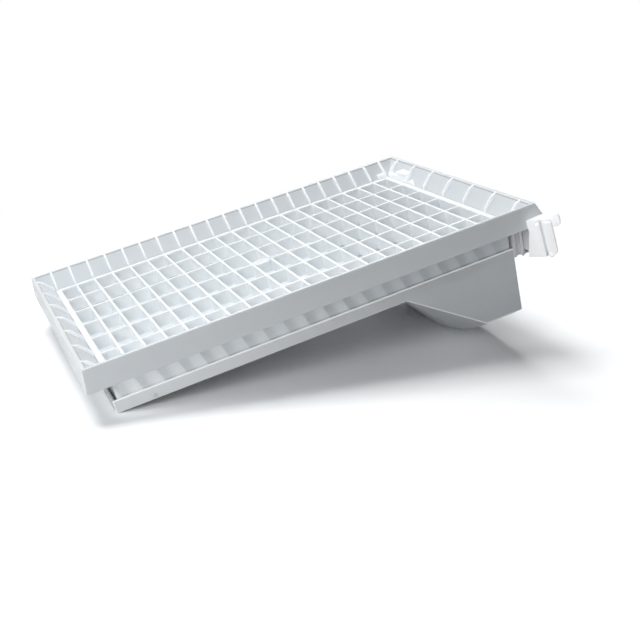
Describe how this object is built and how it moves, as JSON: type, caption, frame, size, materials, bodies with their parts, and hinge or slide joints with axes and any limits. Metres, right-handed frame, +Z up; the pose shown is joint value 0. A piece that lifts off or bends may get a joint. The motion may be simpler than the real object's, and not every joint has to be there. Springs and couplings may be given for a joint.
{
  "type": "paint roller tray",
  "caption": "White plastic paint roller tray: a pan with a deep well, a flared and ribbed hopper, a drop-in roll-off grid, and hinged clips at the well end.",
  "frame": {"origin": "on the floor under the middle of the tray's box, as it stands on its pan and well", "axes": "+X along the tray towards the well end, +Y across the tray to the back, +Z up"},
  "size_m": [0.4476, 0.3494, 0.1569],
  "materials": {
    "pan_plastic": "satin moulded polypropylene",
    "hopper_plastic": "satin moulded polypropylene",
    "grid_plastic": "satin moulded polypropylene",
    "clip_plastic": "satin moulded polypropylene",
    "pin_plastic": "smooth drawn plastic rod"
  },
  "bodies": {
    "pan": {"paint_pan": "pan_plastic"},
    "hopper": {"hopper_frame": "hopper_plastic", "front_clip_body": "clip_plastic", "front_clip_pin": "pin_plastic", "rear_clip_body": "clip_plastic", "rear_clip_pin": "pin_plastic"},
    "grid": {"roll_off_grid": "grid_plastic"},
    "front_flap": {"front_clip_flap": "clip_plastic"},
    "rear_flap": {"rear_clip_flap": "clip_plastic"}
  },
  "joints": [
    {"name": "hopper_lift", "type": "slide", "parent": "pan", "child": "hopper", "axis": [-0.24, 0, 0.9708], "range_m": [0, 0.08]},
    {"name": "grid_lift", "type": "slide", "parent": "hopper", "child": "grid", "axis": [-0.24, 0, 0.9708], "range_m": [0, 0.05]},
    {"name": "front_flap_hinge", "type": "hinge", "parent": "hopper", "child": "front_flap", "pos_m": [0.20969, -0.16536, 0.12743], "axis": [0.2863, -0.0923, -0.9537], "range_deg": [0, 100]},
    {"name": "rear_flap_hinge", "type": "hinge", "parent": "hopper", "child": "rear_flap", "pos_m": [0.20969, 0.16536, 0.12743], "axis": [-0.2863, -0.0923, 0.9537], "range_deg": [0, 100]}
  ]
}
